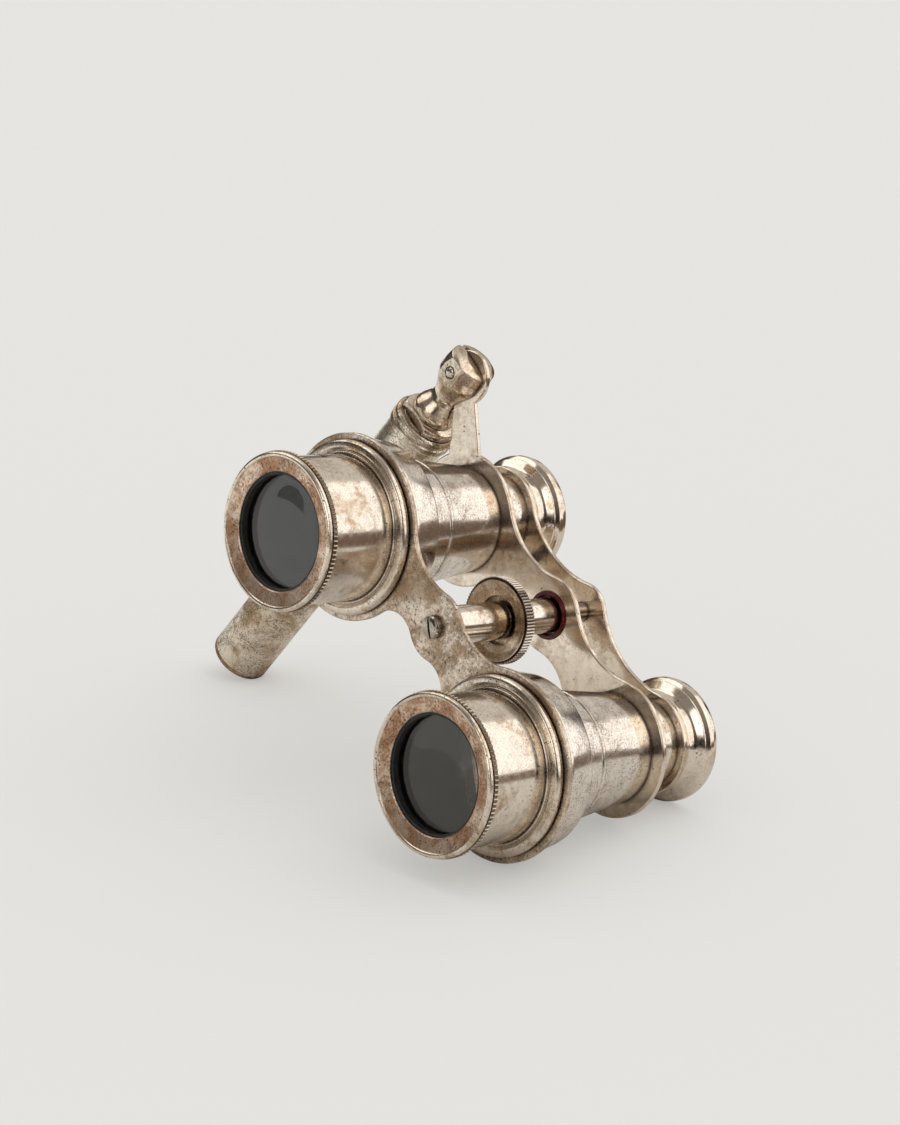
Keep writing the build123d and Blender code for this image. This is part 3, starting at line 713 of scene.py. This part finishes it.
wheelLook = {"radius": 9.5, "teeth": 84, "toothRadius": 0.4, "recess": 5.3, "dish": 0.75, "journal": 2.6}
wheelMetal = platedMetal("wheelSilver", postFrame, amount=0.55, seed=51.0, roughLow=0.14, roughHigh=0.3,
                         patch=5.0, scratches=0.7, crevice=1.0, silver=(0.72, 0.60, 0.48, 1), grime=0.45)
gearMetal = platedMetal("wheelKnurlSilver", postFrame, amount=0.2, seed=53.0, roughLow=0.14, roughHigh=0.25,
                        crevice=1.0, edge=0.05, silver=(0.86, 0.80, 0.74, 1), roots=(9.05, 9.42))
columnMetal = platedMetal("columnSilver", postFrame, amount=0.32, seed=57.0, roughLow=0.07, roughHigh=0.18,
                          patch=6.0, crevice=1.0, silver=(0.92, 0.86, 0.78, 1), grime=0.25)
front, rear = station("focus_wheel")
outer, recess, dish = wheelLook["radius"], wheelLook["recess"], front + wheelLook["dish"]
journal = wheelLook["journal"]
disc = turnedMesh("wheel", [
    (journal, front + 1.9), (recess, front + 1.9), (recess, dish, 0.15),
    (outer - 2.2, front + wheelLook["dish"] * 0.8, 1.5), (outer - 1.1, front + 0.05, 0.3),
    (outer - 0.75, front, 0.1), (outer - 0.42, front + 0.3, 0.1), (outer - 0.42, rear - 0.3, 0.1),
    (outer - 0.75, rear, 0.1), (outer - 2.2, rear - 0.05, 0.3), (journal, rear - 0.05)], segments=168)
teeth = knurlMesh("wheelKnurl", wheelLook["teeth"], outer - 0.46, wheelLook["toothRadius"],
                  rear - front - 0.5, (front + rear) / 2, wheelMetal)
wheel = finishMesh("focusWheel", merged("wheelAll", disc, teeth), postFrame, "wheel",
                   wheelMetal, ["focus_wheel"])
wheel.data.materials.append(gearMetal)
flat = (holdToModel @ postFrame).inverted()
for face in wheel.data.polygons:
    p = flat @ face.center
    if math.hypot(p.x, p.z) > outer - 0.78:
        face.material_index = 1

print("focus wheel done")

# handle

forkLook = {"radius": 5.8, "rise": 3.95, "cheek": 4.4, "slotDepth": 8.7, "neckLength": 16.0, "shank": 5.4}
rivetLook = {"radius": 1.25, "shank": 1.0, "pit": 1.5, "pitDepth": 0.35}
plateLow, plateHigh = station("middle_bridge")
plateMiddle = (plateLow + plateHigh) / 2
slotHalf = (plateHigh - plateLow) / 2 + 0.08
forkHalf = slotHalf + forkLook["cheek"]
wide, foot = forkLook["radius"], forkLook["neckLength"]
top = -forkLook["rise"]
knob = turnedMesh("knob", [
    (0, top), (2.6, top + 0.06, 6.0), (4.5, top + 0.36, 3.0), (wide - 0.4, top + 0.8, 0.15),
    (wide - 0.05, -0.6, 6.0), (wide - 0.05, 2.0, 3.0), (wide - 0.7, 3.4, 2.0), (3.85, 6.1, 3.0),
    (3.4, 7.5, 1.5), (3.6, 8.9, 2.5), (4.8, 11.2, 3.0), (5.25, 12.4, 1.2), (5.2, 13.35, 0.15),
    (4.9, 13.5, 0.05), (4.9, 13.8, 0.05), (5.6, 14.05, 0.2), (6.5, 14.4, 0.5), (6.85, 15.0, 0.35),
    (6.8, 15.6, 0.15), (6.5, 15.75, 0.05), (6.9, foot, 0.1), (forkLook["shank"], foot),
    (forkLook["shank"], foot + 6), (0, foot + 6)], closed=False, segments=192, steps=7)
keep = boxMesh((-20, -20, -forkHalf), (20, 40, forkHalf))
slotBlock = boxMesh((-20, -20, -slotHalf), (20, forkLook["slotDepth"], slotHalf))
pit = turnedMesh("pit", [(0, -20), (rivetLook["pit"], -20), (rivetLook["pit"], 20), (0, 20)],
                 closed=False, segments=48)
pit.transform(Matrix.Rotation(math.radians(90), 4, "X"))
coreHalf = forkHalf - rivetLook["pitDepth"]
core = boxMesh((-9, -9, -coreHalf), (9, 9, coreHalf))
pitRing = carved("pitRing", pit, [("DIFFERENCE", core)])
fork = carved("fork", knob, [("INTERSECT", keep), ("DIFFERENCE", slotBlock), ("DIFFERENCE", pitRing)])
handleMetal = platedMetal("handleSilver", gripFrame, amount=0.42, seed=71.0, roughLow=0.09,
                          roughHigh=0.22, patch=5.0, crevice=1.0, pits=0.35, grime=0.4,
                          silver=(0.86, 0.76, 0.64, 1), edge=0.3)
finishMesh("handleFork", fork, gripFrame, "handle", handleMetal, ["handle_fork"], sharp=20)

ends = []
for way in (-1, 1):
    face = plateMiddle + way * forkHalf
    ends.append(turnedMesh("rivetHead", [
        (0, face - way * 0.8), (rivetLook["radius"], face - way * 0.8),
        (rivetLook["radius"], face - way * 0.2, 0.2), (0.95, face + way * 0.12, 0.5),
        (0.5, face + way * 0.28, 0.6), (0, face + way * 0.3)], closed=False, segments=96))
near, far = plateMiddle - forkHalf, plateMiddle + forkHalf
ends.append(turnedMesh("rivetShank", [
    (0, near), (rivetLook["shank"], near), (rivetLook["shank"], far), (0, far)], closed=False, segments=48))
rivetFrame = turnedFrame((pivot.x, 0, pivot.z), (0, 1, 0))
rivetMetal = platedMetal("rivetSilver", rivetFrame, amount=0.4, seed=83.0, patch=3.0, crevice=1.0)
finishMesh("hingeRivet", merged("rivet", *ends), rivetFrame, "handle", rivetMetal,
           ["hinge_rivet"])

gripLook = {"radius": 7.15, "bore": 6.55, "guide": 6.16, "collar": 7.75}
gripMetal = platedMetal("gripSilver", gripFrame, amount=0.45, seed=91.0, pits=0.8, pitSpacing=0.5,
                        patch=9.0, roughLow=0.16, roughHigh=0.32, crevice=1.0, grime=0.7, grain=0.4,
                        silver=(0.94, 0.86, 0.74, 1))


def alongGrip(name):
    values = [(gripFrame.inverted() @ holdPoint(v.co)).y for v in nodes[name].data.vertices]
    return min(values), max(values)


top, bottom = alongGrip("grip_collar")
outer, wide, guide = gripLook["radius"], gripLook["collar"], gripLook["guide"]
collar = turnedMesh("collar", [
    (guide, top), (7.2, top, 0.2), (wide - 0.03, top + 0.5, 0.4), (wide, top + 1.4, 0.25),
    (wide - 0.45, top + 1.75, 0.08), (wide - 0.45, top + 2.05, 0.08), (wide, top + 2.35, 0.2),
    (wide, bottom - 0.5, 0.3), (wide - 0.45, bottom, 0.15), (outer, bottom), (outer, top + 1.5),
    (guide, top + 1.5)], segments=144)
finishMesh("gripCollar", collar, gripFrame, "grip", gripMetal, ["grip_collar"])

top, bottom = alongGrip("grip_tube")
gripTube = turnedMesh("grip", [
    (gripLook["bore"], top), (outer, top), (outer, bottom, 0.15), (gripLook["bore"], bottom)], segments=160)
finishMesh("gripTube", gripTube, gripFrame, "grip", gripMetal, ["grip_tube"])

top, bottom = alongGrip("grip_cap")
cap = turnedMesh("cap", [
    (0, top), (gripLook["bore"], top), (gripLook["bore"], bottom - 1.8), (outer, bottom - 1.75, 0.12),
    (outer, bottom - 0.75, 0.5), (6.3, bottom - 0.4, 0.8), (3.0, bottom - 0.08, 6.0), (0, bottom)],
    closed=False, segments=144, steps=8)
capMetal = platedMetal("capSilver", gripFrame, amount=0.72, seed=97.0, patch=4.0, roughLow=0.2,
                       roughHigh=0.4, brown=(0.36, 0.22, 0.12, 1))
finishMesh("gripCap", cap, gripFrame, "grip", capMetal, ["grip_cap"])
print("handle done")

# CAD nodes that stay

bridgeMetal = platedMetal("bridgeTarnish", plateFrame, amount=0.5, seed=7.0, patch=7.0, roughLow=0.16,
                          roughHigh=0.34, scratches=0.9, edge=0.3, silver=(0.82, 0.72, 0.61, 1), grime=0.5,
                          brown=(0.46, 0.33, 0.225, 1), pits=0.45, turning=0.0, grain=0.4)
middleMetal = platedMetal("middleTarnish", plateFrame, amount=0.38, seed=19.0, patch=12.0, roughLow=0.06,
                          roughHigh=0.18, scratches=0.6, edge=0.3, turning=0.0, grime=0.32, pits=0.12,
                          silver=(0.88, 0.785, 0.665, 1), brown=(0.50, 0.36, 0.25, 1))
steel = platedMetal("screwSteel", postFrame, amount=0.35, seed=29.0, patch=2.0, crevice=1.0, edge=0.2,
                    silver=(0.55, 0.50, 0.45, 1))
blackPaint = flatPaint("blackRing", (0.02, 0.02, 0.02, 1), 0.45)
redFibre = flatPaint("redFibre", (0.12, 0.003, 0.004, 1), 0.30, 500.0)


def dress(name, material):
    mesh = nodes[name].data
    mesh.materials.clear()
    mesh.materials.append(material)


dress("front_bridge", bridgeMetal)
dress("middle_bridge", middleMetal)
dress("rear_bridge", middleMetal)
for name in ("focus_post", "focus_sleeve", "focus_rod"):
    dress(name, columnMetal)
for name in ("post_screw", "rod_nut"):
    dress(name, steel)
for name in ("handle_slider", "slider_stop"):
    dress(name, handleMetal)
dress("guide_bush", redFibre)
for side in ("left", "right"):
    for name in ("lens_seat_", "lens_stop_", "eye_lens_ring_"):
        dress(name + side, blackPaint)
print("CAD nodes dressed")

# studio

# painted reflection, seen only by glossy rays: out toward the front left the floor reads bright, nearer it reads
# darker, and behind on the right it shows a painted dark room
floorLook = {"reach": 6.0, "paper": (0.44, 0.436, 0.422, 1), "paintedGlow": (0.347, 0.344, 0.334, 1),
             "leftFront": (-0.75, -0.66, 0.0), "reflectionStep": 0.17, "paintedNearReflection": (0.64, 0.605, 0.555, 1),
             "paintedFarReflection": (0.90, 0.89, 0.86, 1), "rightBack": (0.73, 0.68, 0.0), "roomReflectionEdge": 0.17,
             "paintedRoomReflection": (0.13, 0.08, 0.05, 1)}
reach = floorLook["reach"]
floorMesh = bpy.data.meshes.new("floor")
floorMesh.from_pydata([(-reach, -reach, 0), (reach, -reach, 0), (reach, reach, 0), (-reach, reach, 0)], [],
                      [(0, 1, 2, 3)])
floor = bpy.data.objects.new("floor", floorMesh)
scene.collection.objects.link(floor)
floorPaint, tree, shader = newMaterial("floorPaperPaintedReflection")
path = tree.nodes.new("ShaderNodeLightPath")
coords = tree.nodes.new("ShaderNodeTexCoord")
away = addNode(tree, "ShaderNodeVectorMath", {0: coords.outputs["Object"], 1: floorLook["leftFront"]},
               operation="DOT_PRODUCT")
# painted reflection: two tones split at a straight line on the floor
reflectionStepMask = ramp(tree, away.outputs["Value"], floorLook["reflectionStep"], floorLook["reflectionStep"] + 0.012)
paintedReflection = mixColor(tree, reflectionStepMask, floorLook["paintedNearReflection"], floorLook["paintedFarReflection"])
behind = addNode(tree, "ShaderNodeVectorMath", {0: coords.outputs["Object"], 1: floorLook["rightBack"]},
                 operation="DOT_PRODUCT")
# painted reflection of a dark room behind on the right
roomReflectionMask = ramp(tree, behind.outputs["Value"], floorLook["roomReflectionEdge"], floorLook["roomReflectionEdge"] + 0.03)
paintedReflection = mixColor(tree, roomReflectionMask, paintedReflection, floorLook["paintedRoomReflection"])
mirrored = path.outputs["Is Glossy Ray"]
# glossy rays get the painted reflection colours, other rays see plain paper
tree.links.new(mixColor(tree, mirrored, floorLook["paper"], paintedReflection), shader.inputs["Base Color"])
# painted glow: for all but glossy rays the paper emits light, which lifts the shadows on it
tree.links.new(mixColor(tree, mirrored, floorLook["paintedGlow"], (0, 0, 0, 1)), shader.inputs["Emission Color"])
shader.inputs["Emission Strength"].default_value = 1.0
shader.inputs["Roughness"].default_value = 0.9
shader.inputs["Specular IOR Level"].default_value = 0.1
floorMesh.materials.append(floorPaint)

studioLook = {
    "ambient": (0.87, 0.865, 0.85, 1), "sun": 0.42, "low": (0.022, 0.016, 0.012, 1),
    "high": (0.27, 0.24, 0.21, 1),
    "panels": [((-0.40, 0.66, 0.64), 30, 35, (0.60, 0.555, 0.50, 1)),
               ((0.72, 0.60, 0.48), 43, 45, (1.24, 1.16, 1.08, 1)),
               ((0.66, 0.58, 0.72), 13, 15, (1.5, 1.42, 1.33, 1)),
               ((-0.65, -0.1, 0.75), 24, 26, (1.5, 1.42, 1.33, 1)),
               ((0.25, -0.9, 0.45), 17, 20, (1.7, 1.6, 1.5, 1))]}
world = bpy.data.worlds.new("studio")
scene.world = world
world.use_nodes = True
tree = world.node_tree
tree.nodes.clear()
out = tree.nodes.new("ShaderNodeOutputWorld")
background = tree.nodes.new("ShaderNodeBackground")
coords = tree.nodes.new("ShaderNodeTexCoord")
toward = coords.outputs["Generated"]


def panel(aim, inner, outer):
    # soft-edged bright patch of the studio round one direction
    side = addNode(tree, "ShaderNodeVectorMath", {0: toward, 1: Vector(aim).normalized()},
                   operation="DOT_PRODUCT")
    return ramp(tree, side.outputs["Value"], math.cos(math.radians(outer)), math.cos(math.radians(inner)))


xyz = addNode(tree, "ShaderNodeSeparateXYZ", {0: toward})
studio = mixColor(tree, ramp(tree, xyz.outputs[2], 0.0, 0.9), studioLook["low"], studioLook["high"])
for aim, inner, outer, color in studioLook["panels"]:
    studio = mixColor(tree, panel(aim, inner, outer), studio, color)
path = tree.nodes.new("ShaderNodeLightPath")
glow = mixColor(tree, path.outputs["Is Glossy Ray"], studioLook["ambient"], studio)
tree.links.new(glow, background.inputs[0])
background.inputs[1].default_value = 1.0
tree.links.new(background.outputs[0], out.inputs[0])

sun = bpy.data.lights.new("overheadSoft", "SUN")
sun.energy = studioLook["sun"]
sun.angle = math.radians(55)
lamp = bpy.data.objects.new("overheadSoft", sun)
scene.collection.objects.link(lamp)
lamp.rotation_euler = Vector((0.35, 0.25, 1.0)).to_track_quat("Z", "Y").to_euler()
lamp.visible_glossy = False

cameraLook = {"lens": 91.65, "sensor": 36.0, "place": (0.43313, -0.41136, 0.22966),
              "turn": (73.0066, -1.9232, 45.9027)}
camera = bpy.data.objects.new("camera", bpy.data.cameras.new("camera"))
scene.collection.objects.link(camera)
camera.data.lens = cameraLook["lens"]
camera.data.sensor_width = cameraLook["sensor"]
camera.data.clip_start = 0.01
camera.location = cameraLook["place"]
camera.rotation_euler = [math.radians(a) for a in cameraLook["turn"]]
scene.camera = camera
scene.view_settings.view_transform = "Standard"
